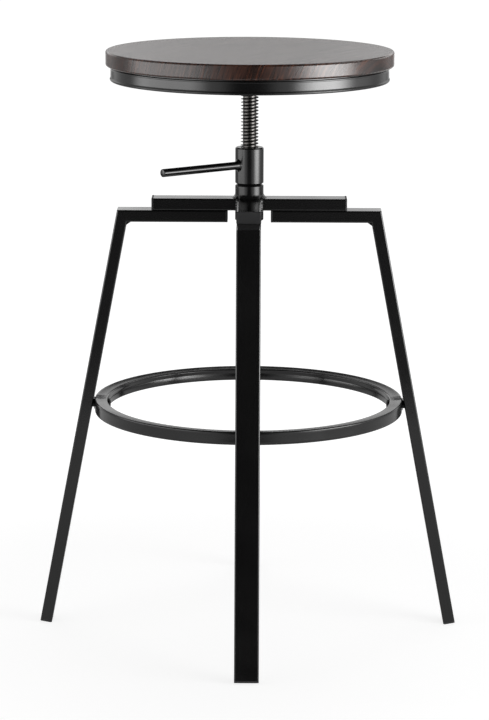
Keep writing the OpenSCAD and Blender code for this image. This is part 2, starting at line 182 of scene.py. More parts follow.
def make_world():
    world = bpy.data.worlds.new("studio")
    bpy.context.scene.world = world
    world.use_nodes = True
    tree = world.node_tree
    sky = tree.nodes["Background"]
    direction = tree.nodes.new("ShaderNodeTexCoord")
    x, y, z = axes(tree, direction.outputs["Generated"])
    aside = calculate(tree, "ABSOLUTE", x, 0)
    rise = total(tree, product(tree, fade(tree, z, 0.03, 0.19), SCREEN_RISE), SCREEN_LOW)
    wings = product(tree, fade(tree, aside, 0.02, 0.07), fade(tree, z, 0.1, 0.14), SCREEN_WINGS)
    screen = product(tree, total(tree, rise, wings), fade(tree, z, 0.31, 0.23), fade(tree, y, 0.62, 0.86))
    strip = product(
        tree, fade(tree, z, 0.48, 0.56), fade(tree, z, 0.76, 0.68), fade(tree, y, 0.3, 0.5), STRIP
    )
    sides = product(tree, fade(tree, aside, 0.2, 0.5), fade(tree, z, 0.6, 0.3), SIDE_GLOW)
    front = product(
        tree, fade(tree, aside, 0.12, 0.45), fade(tree, y, -0.5, -0.85), fade(tree, z, 0.5, 0.2), FRONT_GLOW
    )
    ground = product(tree, fade(tree, z, -0.1, -0.16), ROOM_FLOOR)
    mirrored = total(tree, screen, strip, sides, front, ground, ROOM)
    seen, glossy = ray_kinds(tree)
    light = choose(tree, glossy, SOFT_LIGHT, mirrored)
    tree.links.new(choose(tree, seen, light, 1.0), sky.inputs["Strength"])
    sky.inputs["Color"].default_value = (1, 1, 1, 1)
    return world


make_world()
bpy.context.scene.view_settings.view_transform = "Standard"
print("world: bright screen behind, dark room elsewhere")

# %% [markdown]
# The floor is a pale shooting table. A plain white surface never reaches paper white under soft lights, so
# it glows for camera and mirror rays, and the rest of its brightness is lit. That lit part is what keeps
# the stool's soft shadow. Near the stool the glow is weaker, a faint painted shade round it, and mirror
# rays see the paper there dimmer still, a painted shade in what the stool mirrors. The table ends in
# front of the stool, out of the camera's view, as the real one seems to have done, and its paper grows dim
# to the left and right, because otherwise the legs and the sleeve would mirror it.

# %% Floor
TABLE_FRONT = -1.15
TABLE_BACK = 12.0
TABLE_HALF = 3.3
PAPER = 0.3
NEAR_GLOW_SHADED = 0.82
MIRRORED_PAPER_SHADED = 0.52
FAR_PAPER = 0.75
PAPER_ASIDE = 0.15


def table_paper():
    paper = bpy.data.materials.new("table_paper")
    paper.use_nodes = True
    tree = paper.node_tree
    tree.nodes.clear()
    place = tree.nodes.new("ShaderNodeTexCoord").outputs["Object"]
    length = tree.nodes.new("ShaderNodeVectorMath")
    length.operation = "LENGTH"
    tree.links.new(place, length.inputs[0])
    away = length.outputs["Value"]
    aside = calculate(tree, "ABSOLUTE", axes(tree, place)[0], 0)
    seen, glossy = ray_kinds(tree)
    # Mirror rays see the paper dimmer near the stool: painted shade in the stool's reflections.
    mirrored = total(tree, product(tree, fade(tree, away, 1.2, 4), FAR_PAPER), MIRRORED_PAPER_SHADED)
    dimmed = total(tree, product(tree, fade(tree, aside, 2.4, 0.6), 1 - PAPER_ASIDE), PAPER_ASIDE)
    shown = calculate(tree, "MAXIMUM", seen, product(tree, glossy, mirrored, dimmed))
    # The glow is weaker near the stool: a faint painted shade round it.
    level = total(tree, product(tree, fade(tree, away, 0.3, 1.1), 1 - NEAR_GLOW_SHADED), NEAR_GLOW_SHADED)
    glow = tree.nodes.new("ShaderNodeEmission")
    tree.links.new(product(tree, shown, level), glow.inputs["Strength"])
    matt = tree.nodes.new("ShaderNodeBsdfDiffuse")
    matt.inputs["Color"].default_value = (PAPER, PAPER, PAPER, 1)
    both = tree.nodes.new("ShaderNodeAddShader")
    tree.links.new(matt.outputs["BSDF"], both.inputs[0])
    tree.links.new(glow.outputs["Emission"], both.inputs[1])
    output = tree.nodes.new("ShaderNodeOutputMaterial")
    tree.links.new(both.outputs["Shader"], output.inputs["Surface"])
    return paper


def make_floor():
    corners = [
        (-TABLE_HALF, TABLE_FRONT, 0), (TABLE_HALF, TABLE_FRONT, 0),
        (TABLE_HALF, TABLE_BACK, 0), (-TABLE_HALF, TABLE_BACK, 0),
    ]
    mesh = bpy.data.meshes.new("floor")
    mesh.from_pydata(corners, [], [(0, 1, 2, 3)])
    mesh.materials.append(table_paper())
    floor = bpy.data.objects.new("floor", mesh)
    bpy.context.scene.collection.objects.link(floor)
    return floor


floor = make_floor()
print("floor", [round(v, 2) for v in floor.dimensions])

# %% [markdown]
# The stool's round parts show where the studio's lamps were: a strong softbox at the front right with a
# dim spill beside it, and a wide weaker one at the front left. An area lamp is a softbox: its size sets
# how wide the streak on a tube is, and its power spread over that size sets how bright the streak is. The
# function takes that brightness, and fades the lamp out towards its edges as cloth over a lamp does. The
# boxes are bright up to about seat height and dim above it, so that a level top seen from behind isn't
# blown out by them. A last lamp overhead only lifts the shadows: it is hidden from mirror rays, because
# the real chamfers stay black.

# %% Lamps
BOX_DISTANCE = 2.2
BOX_HEIGHT = 1.15
BOX_LENGTH = 2.8
UPRIGHT_FADING = 0.65
BRIGHT_BELOW, DIM_ABOVE = 0.5, 0.86
UPPER = 0.09


def softbox(name, turn, distance, height, size, brightness, soft, aim_height, dimmed):
    """An area lamp; soft is how much of its width and of its height is spent on fading out at the edges."""
    lamp = bpy.data.lights.new(name, "AREA")
    lamp.shape = "RECTANGLE"
    lamp.size, lamp.size_y = size
    lamp.energy = brightness * math.pi * size[0] * size[1]
    lamp.use_nodes = True
    tree = lamp.node_tree
    place = tree.nodes.new("ShaderNodeNewGeometry")
    levels = []
    for across, share in zip(axes(tree, place.outputs["Parametric"]), soft):
        off_middle = calculate(tree, "ABSOLUTE", calculate(tree, "SUBTRACT", across, 0.5), 0)
        levels.append(fade(tree, off_middle, 0.5, 0.5 - share / 2))
    if dimmed:
        low = fade(tree, axes(tree, place.outputs["Position"])[2], DIM_ABOVE, BRIGHT_BELOW)
        levels.append(total(tree, product(tree, low, 1 - UPPER), UPPER))
    tree.links.new(product(tree, *levels), tree.nodes["Emission"].inputs["Strength"])
    box = bpy.data.objects.new(name, lamp)
    bpy.context.scene.collection.objects.link(box)
    angle = math.radians(turn)
    box.location = (distance * math.sin(angle), -distance * math.cos(angle), height)
    box.rotation_euler = (Vector((0, 0, aim_height)) - box.location).to_track_quat("-Z", "Y").to_euler()
    box.visible_camera = False
    print(name, "brightness", brightness, "power", round(lamp.energy, 1), "W")
    return box


for name, turn, width, brightness, soft in (
    ("softbox_right", 63, 2.7, 15.5, 0.9),
    ("softbox_right_spill", 90, 3.0, 1.1, 0.9),
    ("softbox_left", -71, 3.8, 4.1, 0.55),
):
    size, fading = (width, BOX_LENGTH), (soft, UPRIGHT_FADING)
    softbox(name, turn, BOX_DISTANCE, BOX_HEIGHT, size, brightness, fading, BOX_HEIGHT, dimmed=True)
top = softbox(
    "softbox_top", turn=175, distance=0.7, height=2.5, size=(1.8, 1.4), brightness=3.2,
    soft=(0.8, UPRIGHT_FADING), aim_height=0.42, dimmed=False,
)
top.visible_glossy = False

# %% [markdown]
# Every finish starts from the same few steps: a new material, its Principled shader, and noise that is
# measured in metres. The Object coordinate suits this frame, because every piece sits at the origin and
# its place is in its mesh, so a grain of one millimetre is one millimetre on every piece. Noise can be
# stretched, turned and leant, as timber needs, and its middle part is spread over the range that a finish
# asks for.

# %% Helpers for finishes
def new_finish(name, **shader):
    finish = bpy.data.materials.new(name)
    finish.use_nodes = True
    coat = finish.node_tree.nodes["Principled BSDF"]
    for socket, value in shader.items():
        coat.inputs[socket.replace("_", " ")].default_value = value
    return finish, finish.node_tree, coat


def grain(tree, scale, detail, stretch=None, turn=0.0, lean=0.0, rough=0.5):
    """Noise measured in metres: scale is roughly how many blobs fit in a metre."""
    noise = tree.nodes.new("ShaderNodeTexNoise")
    noise.inputs["Scale"].default_value = scale
    noise.inputs["Detail"].default_value = detail
    noise.inputs["Roughness"].default_value = rough
    source = tree.nodes.new("ShaderNodeTexCoord").outputs["Object"]
    if stretch:
        for socket, value in (("Rotation", (0, 0, turn)), ("Rotation", (lean, 0, 0)), ("Scale", stretch)):
            step = tree.nodes.new("ShaderNodeMapping")
            step.inputs[socket].default_value = value
            tree.links.new(source, step.inputs["Vector"])
            source = step.outputs["Vector"]
    tree.links.new(source, noise.inputs["Vector"])
    return noise.outputs["Fac"]


def between(tree, factor, low, high, start=0.3, end=0.7):
    """A number that goes from low to high as factor goes from start to end."""
    spread = tree.nodes.new("ShaderNodeMapRange")
    for socket, value in (("From Min", start), ("From Max", end), ("To Min", low), ("To Max", high)):
        spread.inputs[socket].default_value = value
    tree.links.new(factor, spread.inputs["Value"])
    return spread.outputs["Result"]


# %% [markdown]
# Most finishes are mottled: a slow noise shifts their colour and gloss a little, and a fine one roughens
# the surface by a depth in metres. Bumps can lie over each other, as pores do on grain. A finish goes on a
# CAD node by taking the place of the plain material in its first slot.

# %% Helpers for coats
PEEL = 0.03 * MM
FINE = 0.01 * MM


def blend_colours(tree, factor, first, second):
    mix = tree.nodes.new("ShaderNodeMix")
    mix.data_type = "RGBA"
    for socket, value in ((mix.inputs[6], first), (mix.inputs[7], second)):
        if isinstance(value, tuple):
            socket.default_value = (*value, 1)
        else:
            tree.links.new(value, socket)
    tree.links.new(factor, mix.inputs["Factor"])
    return mix.outputs[2]


def raise_surface(tree, coat, height, depth, under=None):
    """Bumps the coat by depth metres where height is 1, over the bumps that lie under it."""
    bump = tree.nodes.new("ShaderNodeBump")
    bump.inputs["Distance"].default_value = depth
    tree.links.new(height, bump.inputs["Height"])
    if under:
        tree.links.new(under, bump.inputs["Normal"])
    tree.links.new(bump.outputs["Normal"], coat.inputs["Normal"])
    return bump.outputs["Normal"]


def mottle(tree, coat, dark, light, gloss, slow, fine, depth):
    """Colour and gloss go between two values by the slow noise, and the fine one roughens the surface."""
    tree.links.new(blend_colours(tree, slow, dark, light), coat.inputs["Base Color"])
    tree.links.new(between(tree, slow, *gloss), coat.inputs["Roughness"])
    raise_surface(tree, coat, fine, depth)


def wear(finish, *names):
    for name in names:
        nodes[name].material_slots[0].material = finish
    print(finish.name, "on", len(names), "nodes")


# %% [markdown]
# The arms and legs have a black powder coat. It is sprayed on dry and melted, so it is never quite flat:
# it has a faint orange peel one or two millimetres across, and its gloss changes slowly along the tube.
# The colour is nearly black, and what shapes the tube is the light along its rounded corners.

# %% Powder coat
def powder_coat(name, dark, light, gloss, peel):
    finish, tree, coat = new_finish(name, Specular_IOR_Level=0.55)
    slow, fine = grain(tree, 22, 3), grain(tree, 620, 2)
    mottle(tree, coat, dark, light, (gloss - 0.04, gloss + 0.05), slow, fine, peel)
    return finish


black_coat = powder_coat(
    "black_powder_coat", (0.0057, 0.0056, 0.0058), (0.0088, 0.0086, 0.0088), 0.14, PEEL
)
wear(black_coat, *[f"{part}_{side}" for part in ("arm", "leg") for side in SIDES])

# %% [markdown]
# The pan, sleeve, hub and ring have a coat of the same kind with a slightly softer shine, so their round
# faces carry broad bands of light and read as graphite grey. It could share the arms' finish, but the
# photograph shows these bands wider and greyer, and that difference is what separates the parts.

# %% Graphite coat
graphite_coat = powder_coat("graphite_coat", (0.004, 0.004, 0.0042), (0.0075, 0.0074, 0.0076), 0.17, PEEL)
wear(graphite_coat, "seat_pan", "seat_plate", "lock_sleeve", "hub", "footrest_ring")

# %% [markdown]
# The lever is the glossiest piece. Its paint has hardly any orange peel, so the rod shows the lamps as
# thin bright lines. It is the same kind of coat with a lower roughness, so it takes one line.

# %% Lever paint
lever_paint = powder_coat("lever_paint", (0.0015, 0.0015, 0.0016), (0.003, 0.003, 0.0031), 0.07, FINE)
wear(lever_paint, "lock_lever")

# %% [markdown]
# The caps in the tube ends are moulded in charcoal plastic. Moulded plastic has a fine even texture from
# the mould and reflects much less than paint, so the front cap reads as a grey block among black faces.

# %% Plastic caps
def moulded_plastic(name, dark, light):
    finish, tree, coat = new_finish(name, Specular_IOR_Level=0.35)
    mottle(tree, coat, dark, light, (0.5, 0.62), grain(tree, 90, 2), grain(tree, 1500, 2), PEEL)
    return finish


charcoal_plastic = moulded_plastic("charcoal_plastic", (0.026, 0.026, 0.027), (0.034, 0.034, 0.035))
wear(charcoal_plastic, *[f"{part}_{side}" for part in ("arm_cap", "leg_plug", "foot_cap") for side in SIDES])

# %% [markdown]
# The bolts, nuts and washer are bare metal: zinc plated where they are hidden, and blackened on the ring,
# where they show. A metal shader has no colour of its own below its shine, so its base colour is how much
# it mirrors.

# %% Fasteners
def metal(name, dark, light, gloss):
    finish, tree, coat = new_finish(name, Metallic=1.0)
    slow, fine = grain(tree, 140, 3), grain(tree, 2200, 2)
    mottle(tree, coat, dark, light, (gloss - 0.06, gloss + 0.08), slow, fine, FINE)
    return finish


plated_metal = metal("zinc_plate", (0.42, 0.41, 0.38), (0.58, 0.57, 0.54), 0.28)
blackened_metal = metal("blackened_fastener", (0.012, 0.012, 0.013), (0.03, 0.03, 0.031), 0.35)
wear(plated_metal, "seat_plate_screws", "pan_screws", "stop_washer", "stop_bolt", "arm_nuts", "leg_bolts")
wear(blackened_metal, "ring_nuts", "ring_bolts")

# %% [markdown]
# The lead screw is dark steel with a brighter root, and its crests are painted near black as painted
# shade, so that every ridge reads as a dark line. It has to be a metal too, because only metal gives such
# hard glints. The finish measures each point's distance from the axis itself, by dropping the height and
# taking the length, and that distance sets how black it is.

# %% Screw steel
ROOT_STEEL_BELOW, CREST_SHADE_ABOVE = 7.4 * MM, 8.8 * MM


def shaded_crest_screw(name, black, bright):
    finish, tree, coat = new_finish(name, Metallic=1.0)
    flat = tree.nodes.new("ShaderNodeVectorMath")
    flat.operation = "MULTIPLY"
    flat.inputs[1].default_value = (1, 1, 0)
    tree.links.new(tree.nodes.new("ShaderNodeTexCoord").outputs["Object"], flat.inputs[0])
    reach = tree.nodes.new("ShaderNodeVectorMath")
    reach.operation = "LENGTH"
    tree.links.new(flat.outputs["Vector"], reach.inputs[0])
    # Past the root the colour fades to near black: painted shade along the crests.
    out = fade(tree, reach.outputs["Value"], ROOT_STEEL_BELOW, CREST_SHADE_ABOVE)
    slow, fine = grain(tree, 260, 3), grain(tree, 2200, 2)
    root_tone = blend_colours(tree, slow, tuple(0.6 * level for level in bright), bright)
    tree.links.new(blend_colours(tree, out, root_tone, black), coat.inputs["Base Color"])
    tree.links.new(between(tree, slow, 0.24, 0.36), coat.inputs["Roughness"])
    raise_surface(tree, coat, fine, FINE)
    return finish


screw_metal = shaded_crest_screw("screw_steel_painted_crest_shade", (0.012, 0.012, 0.012), (0.115, 0.11, 0.105))
wear(screw_metal, "lead_screw")

# %% [markdown]
# The seat is one dark timber disc. Its grain runs from the front left to the back right, so the front edge
# cuts across the fibres and shows upright streaks, and the top shows long faint lines. A solid texture
# does both at once: noise that is stretched along the grain and along the height is sampled wherever the
# surface happens to cut it. The board was sawn a little off upright, so the noise leans, and the streaks
# with it. Over the colour lies a satin lacquer, which is why the top looks grey at a low angle.

# %% Timber
GRAIN_TURN = math.radians(-63)
GRAIN_LEAN = math.radians(-17)
PALE_BROWN, DEEP_BROWN = (0.056, 0.0242, 0.0172), (0.024, 0.011, 0.0082)
RED_STREAK, DARK_STREAK = (0.105, 0.037, 0.021), (0.009, 0.0056, 0.0048)


def timber():
    finish, tree, coat = new_finish("dark_timber", Specular_IOR_Level=0.58)
    bands = grain(tree, 1, 3, stretch=(5, 70, 14), turn=GRAIN_TURN, lean=GRAIN_LEAN, rough=0.6)
    streaks = grain(tree, 1, 4, stretch=(9, 480, 34), turn=GRAIN_TURN, lean=GRAIN_LEAN, rough=0.62)
    pores = grain(tree, 1, 2, stretch=(60, 2600, 400), turn=GRAIN_TURN, lean=GRAIN_LEAN)
    ground = blend_colours(tree, between(tree, bands, 0, 1, 0.35, 0.65), DEEP_BROWN, PALE_BROWN)
    red = blend_colours(tree, between(tree, streaks, 0, 1, 0.5, 0.68), ground, RED_STREAK)
    dark = blend_colours(tree, between(tree, streaks, 1, 0, 0.3, 0.46), red, DARK_STREAK)
    tree.links.new(dark, coat.inputs["Base Color"])
    tree.links.new(between(tree, streaks, 0.25, 0.18), coat.inputs["Roughness"])
    raised = raise_surface(tree, coat, streaks, 0.12 * MM)
    raise_surface(tree, coat, pores, 0.05 * MM, under=raised)
    return finish


dark_timber = timber()
wear(dark_timber, "seat_top")

# %% [markdown]
# New pieces are meshes made from rows of points. One helper sets a point out from the stool's axis, one
# turns a grid of rows into quads, closed round the row, and one puts the result in the scene: it rides on
# a CAD body and hides the CAD node that it stands for. Every piece stays at the origin with its place in
# its points, as the CAD nodes do.

# %% Helpers for pieces
def set_out(turn, out, across, height):
    """A point that lies out from the axis in the direction turn, and across to the left of that."""
    return (
        out * math.cos(turn) - across * math.sin(turn),
        out * math.sin(turn) + across * math.cos(turn),
        height,
    )


def around(steps):
    """The angles of a full turn in equal steps."""
    return [2 * math.pi * step / steps for step in range(steps)]


def grid_faces(rows, columns, first=0, joined=False):
    """Quads between closed rows of points; joined also closes the last row on the first."""
    faces = []
    for row in range(rows if joined else rows - 1):
        for column in range(columns):
            beside = (column + 1) % columns
            here, there = first + row * columns, first + (row + 1) % rows * columns
            faces.append((here + column, here + beside, there + beside, there + column))
    return faces


def end_faces(rows, columns, first=0):
    """One flat face on the first row and one on the last."""
    return [list(range(start, start + columns)) for start in (first, first + (rows - 1) * columns)]


def add_piece(name, points, faces, finish, body, slot, *stands_for, crease=40):
    mesh = bpy.data.meshes.new(name)
    mesh.from_pydata([tuple(point) for point in points], [], faces)
    shell = bmesh.new()
    shell.from_mesh(mesh)
    bmesh.ops.recalc_face_normals(shell, faces=shell.faces)
    shell.to_mesh(mesh)
    shell.free()
    mesh.polygons.foreach_set("use_smooth", [True] * len(mesh.polygons))
    mesh.set_sharp_from_angle(angle=math.radians(crease))
    mesh.materials.append(finish)
    piece = bpy.data.objects.new(name, mesh)
    bpy.context.scene.collection.objects.link(piece)
    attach(piece, body)
    if stands_for:
        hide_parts(*stands_for)
    print(name, len(mesh.vertices), "points, rides on", body)
    return piece


# %% [markdown]
# The lead screw is cut with a right-hand thread of 3.5 mm pitch, with the narrow crests and wide root that
# the photograph shows. The profile is one function of the share of the pitch, so that the helix can ask
# for its radius anywhere.

# %% Thread profile
SCREW_R = 9.5 * MM
THREAD_DEPTH = 2.4 * MM
ROOT_R = SCREW_R - THREAD_DEPTH
PITCH = 3.5 * MM
FLANK_FOOT, FLANK_WIDTH = 0.23, 0.17


def thread_radius(share):
    """Radius at a share of the pitch: a narrow crest, steep flanks and a wide flat root."""
    off_crest = abs((share + 0.5) % 1 - 0.5)
    climb = min(1, max(0, (FLANK_FOOT - off_crest) / FLANK_WIDTH))
    return ROOT_R + THREAD_DEPTH * climb ** 1.1


print("thread radius in mm: crest", round(SCREW_R / MM, 1), "root", round(ROOT_R / MM, 1))

# %% [markdown]
# The CAD node has level ridges, which is enough for its bore and its mass. A real helix could be a Screw
# modifier on the profile, but a sheared grid is cleaner: each row climbs one pitch on its way round, so
# that its end meets the start of a higher row. The grid is made too long and then cut level at both ends,
# and a plain journal goes on through the plate that the screw is welded to.

# %% Lead screw
JOURNAL_R = 8.5 * MM
CHAMFER_SLOPE = SCREW_R / (9 * MM)


def cut_level(mesh, height, up):
    """Cuts away what lies past a height, upwards or downwards, and closes the cut."""
    everything = mesh.verts[:] + mesh.edges[:] + mesh.faces[:]
    cut = bmesh.ops.bisect_plane(
        mesh, geom=everything, plane_co=(0, 0, height), plane_no=(0, 0, up), clear_outer=True
    )
    rim = [edge for edge in cut["geom_cut"] if isinstance(edge, bmesh.types.BMEdge)]
    bmesh.ops.edgeloop_fill(mesh, edges=rim)


def lead_screw():
    low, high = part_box("lead_screw")
    end, plate = low[2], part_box("seat_plate")[0][2]
    steps, cuts = 48, 18
    rows = int((plate - end) / PITCH + 3) * cuts
    thread = bmesh.new()
    corners = []
    for row in range(rows):
        for step, turn in enumerate(around(steps)):
            z = end - 1.5 * PITCH + PITCH * (row / cuts + step / steps)
            r = min(thread_radius(row / cuts), ROOT_R + max(0, z - end) * CHAMFER_SLOPE)
            corners.append(thread.verts.new(set_out(turn, r, 0, z)))
    for row in range(rows - cuts - 1):
        for step in range(steps):
            beside, lift = (step + 1) % steps, cuts if step == steps - 1 else 0
            a, b = row * steps + step, (row + lift) * steps + beside
            thread.faces.new([corners[corner] for corner in (a, b, b + steps, a + steps)])
    bmesh.ops.delete(thread, geom=[v for v in thread.verts if not v.link_faces], context="VERTS")
    cut_level(thread, end, -1)
    cut_level(thread, plate, 1)
    thread.verts.index_update()
    points = [vert.co[:] for vert in thread.verts]
    faces = [[vert.index for vert in face.verts] for face in thread.faces]
    thread.free()
    first, sides = len(points), 48
    points += [set_out(turn, JOURNAL_R, 0, z) for z in (plate, high[2]) for turn in around(sides)]
    return points, faces + grid_faces(2, sides, first) + end_faces(2, sides, first)


add_piece("lead_screw_thread", *lead_screw(), screw_metal, "seat", "screw_steel", "lead_screw", crease=60)

# %% [markdown]
# The lever is a straight rod, welded into the side of the sleeve and dressed to a smooth flare that is
# taller than it is wide. The flare has to follow the sleeve's round wall, so its first rings are bent:
# each point's distance from the axis is taken from the wall, and the bend fades out along the flare.

# %% Lever
LEVER_ANGLE = math.radians(218)
LEVER_R = 4.3 * MM
LEVER_REACH = 114.5 * MM
LEVER_RISE = 20.6 * MM
TIP_ROUND = 0.9 * MM
FLARE_UP = 6.9 * MM
FLARE_ACROSS = 5.5 * MM
FLARE_LENGTH = 5.5 * MM
SLEEVE_R = 15.28 * MM
BURIED = -3.5 * MM


def lever_rings():
    """Rings of (distance out, half width, half height, straight): 0 follows the sleeve's wall, 1 is flat."""
    end = LEVER_REACH - SLEEVE_R
    rings = [(BURIED, 0, 0, 0), (BURIED, LEVER_R, LEVER_R, 0), (-0.1 * MM, FLARE_ACROSS, FLARE_UP, 0)]
    for step in range(12):
        share = step / 11
        left = (1 - share) ** 3
        half_width, half_height = (LEVER_R + (flare - LEVER_R) * left for flare in (FLARE_ACROSS, FLARE_UP))
        rings.append((share * FLARE_LENGTH, half_width, half_height, share))
    for step in range(1, 25):
        rings.append((FLARE_LENGTH + (end - FLARE_LENGTH - TIP_ROUND) * step / 24, LEVER_R, LEVER_R, 1))
    for step in range(1, 5):
        bend = math.radians(90 * step / 4)
        radius = LEVER_R - TIP_ROUND * (1 - math.cos(bend))
        rings.append((end - TIP_ROUND * (1 - math.sin(bend)), radius, radius, 1))
    return rings + [(end, 0, 0, 1)]


def lever():
    axis_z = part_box("lock_sleeve")[0][2] + LEVER_RISE
    rings, sides, points = lever_rings(), 40, []
    for out, half_width, half_height, straight in rings:
        for spin in around(sides):
            across, up = half_width * math.cos(spin), half_height * math.sin(spin)
            wall = math.sqrt(SLEEVE_R ** 2 - across ** 2)
            along = wall + (SLEEVE_R - wall) * straight + out
            points.append(set_out(LEVER_ANGLE, along, across, axis_z + up))
    return points, grid_faces(len(rings), sides)


add_piece("lever_rod", *lever(), lever_paint, "lock", "gloss_black_paint", "lock_lever", crease=50)

# %% [markdown]
# The arms are welded to the hub all round, above and below, and the weld is painted over. A weld bead is
# laid as overlapping drops, so it has ripples four or five millimetres apart and an uneven toe. These
# helpers give the drops and the unevenness, and how far an arm's level face has fallen away at its rounded
# edges.

# %% Helpers for welds
HALF_ARM = 12.7 * MM
CORNER_R = 1.6 * MM


def uneven(turn, seed):
    """A smooth number between about -1 and 1 that repeats after a full turn."""
    waves = ((0.5, 3, 1), (0.3, 7, 2.3), (0.2, 13, -1))
    return sum(size * math.sin(count * turn + shift * seed) for size, count, shift in waves)


def from_nearest_arm(turn):
    """The angle between this direction and the middle of the nearest arm."""
    return abs((turn + math.pi / 4) % (math.pi / 2) - math.pi / 4)


def arm_drop(r, turn):
    """How far the arms' level face has fallen away, through the round of its edge, at this place."""
    across = r * math.sin(from_nearest_arm(turn)) - (HALF_ARM - CORNER_R)
    if across <= 0:
        return 0.0
    return CORNER_R - math.sqrt(max(0.0, CORNER_R ** 2 - min(across, CORNER_R) ** 2))


def drop_height(place):
    """The round back of one drop of weld, as its place goes from 0 to 1 and starts again."""
    return math.sqrt(max(0.0, 1 - (2 * (place % 1) - 1) ** 2))


# %% [markdown]
# Each hub weld is a ring of points round the hub: the section runs from the hub's wall to the arms, and
# each step round the hub changes its size a little. The toe stays within the arms' side walls, and at the
# diagonals, where the arms' rounded edges fall away, it follows them down.

# %% Hub welds
HUB_R = 15.25 * MM
WELD_ROOT_R = HUB_R - 0.2 * MM
WELD_DROPS = 24
WITHIN_ARM = 0.1 * MM
TOE_SUNK = 0.15 * MM
ARM_LOW, ARM_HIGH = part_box("arm_right")[0][2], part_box("arm_right")[1][2]


def hub_weld(level, up, out, climb, seed):
    steps, cuts = 360, 9
    points = []
    for turn in around(steps):
        drop = turn * WELD_DROPS / (2 * math.pi) + 0.25 * uneven(turn, seed + 1)
        swell = 1 + 0.08 * uneven(turn, seed) + 0.16 * drop_height(drop)
        side_wall = (HALF_ARM - WITHIN_ARM) / max(math.sin(from_nearest_arm(turn)), 0.01)
        toe = min(HUB_R + out * swell, side_wall)
        sink = arm_drop(toe, turn) + TOE_SUNK
        for cut in range(cuts):
            lean = math.pi / 2 * cut / (cuts - 1)
            r = WELD_ROOT_R + (toe - WELD_ROOT_R) * (1 - math.cos(lean)) ** 0.9
            z = climb * swell * (1 - math.sin(lean)) ** 0.9 - sink * math.sin(lean)
            points.append(set_out(turn, r, 0, level + up * z))
        points.append(set_out(turn, WELD_ROOT_R, 0, level - up * 2 * MM))
    return points, grid_faces(steps, cuts + 1, joined=True)


def add_weld(name, points, faces):
    add_piece(name, points, faces, black_coat, "base", "black_paint", crease=180)


add_weld("hub_weld_upper", *hub_weld(ARM_HIGH, 1, 4.0 * MM, 4.6 * MM, 1.0))
add_weld("hub_weld_lower", *hub_weld(ARM_LOW, -1, 2.6 * MM, 2.6 * MM, 4.0))

# %% [markdown]
# Between two arms, their side walls meet in an upright corner just outside the hub, and that corner is
# welded too. The bead is a stack of rings along a straight line, with the same drops and unevenness as the
# others and rounded ends.

# %% Corner welds
CORNER_WELD_R = 2.1 * MM
CORNER_DROPS = 4.5


def corner_weld(turn, seed):
    """An upright bead in the corner where two arms meet."""
    steps, sides = 44, 12
    middle_r, start = HALF_ARM * math.sqrt(2) - 0.4 * MM, ARM_LOW - 0.9 * MM
    points = []
    for step in range(steps):
        share = step / (steps - 1)
        drop = share * CORNER_DROPS + 0.2 * uneven(3 * share, seed)
        size = CORNER_WELD_R * (0.9 + 0.13 * drop_height(drop) + 0.05 * uneven(4 * share, seed))
        size *= math.sqrt(max(0.02, 1 - (2 * share - 1) ** 8))
        for spin in around(sides):
            out, across = middle_r + size * math.cos(spin), size * 1.25 * math.sin(spin)
            points.append(set_out(turn, out, across, start + (ARM_HIGH - start) * share))
    return points, grid_faces(steps, sides) + end_faces(steps, sides)


for number, angle in enumerate((45, 135, 225, 315)):
    add_weld(f"corner_weld_{number + 1}", *corner_weld(math.radians(angle), number))

# %% [markdown]
# Round pressed work is drawn as a lathe would turn it: a profile of corners, each rounded off by its own
# radius, turned about the axis. A Spin or a Screw modifier would do the same, but points made here are
# exact. Smooth shading would bend the light on a long flat between two arcs, so each flat gets a point
# near either end.

# %% Helpers for turned pieces
def rounded(corners):
    """Cuts each corner (x, y, radius) back to an arc; long flats get a point near each end to stay flat."""
    path = []
    for number, (x, y, radius) in enumerate(corners):
        here = Vector((x, y))
        if radius == 0:
            path.append(here)
            continue
        before = (Vector(corners[number - 1][:2]) - here).normalized()
        after = (Vector(corners[number + 1][:2]) - here).normalized()
        half = before.angle(after) / 2
        middle = here + (before + after).normalized() * radius / math.sin(half)
        start, end = here + before * radius / math.tan(half), here + after * radius / math.tan(half)
        sweep = (start - middle).angle_signed(end - middle)
        for step in range(7):
            path.append(middle + Matrix.Rotation(-sweep * step / 6, 2) @ (start - middle))
    kept = [path[0]]
    for point in path[1:]:
        span = point - kept[-1]
        if span.length > 1.2 * MM:
            kept += [kept[-1] + span.normalized() * 0.25 * MM, point - span.normalized() * 0.25 * MM]
        kept.append(point)
    return kept


def turned(path, steps=360):
    """A path of (radius, height) points turned about the stool's axis."""
    points = [set_out(turn, radius, 0, height) for radius, height in path for turn in around(steps)]
    return points, grid_faces(len(path), steps)


# %% [markdown]
# The seat pan is pressed from sheet: its skirt has a small bead at the top, a straight face, and a lip
# that flares out and rolls under. The bead sits almost two millimetres below the timber, and that gap is
# the thin black line round the seat. The underside is open, so its inside corner and its turned-in lip are
# drawn too. Its top stays a fiftieth of a millimetre clear of the timber, because two faces in one place
# would flicker.

# %% Seat pan
SHEET = 1.5 * MM
PAN_MIDDLE_R = 20 * MM
CLEAR = 0.02 * MM


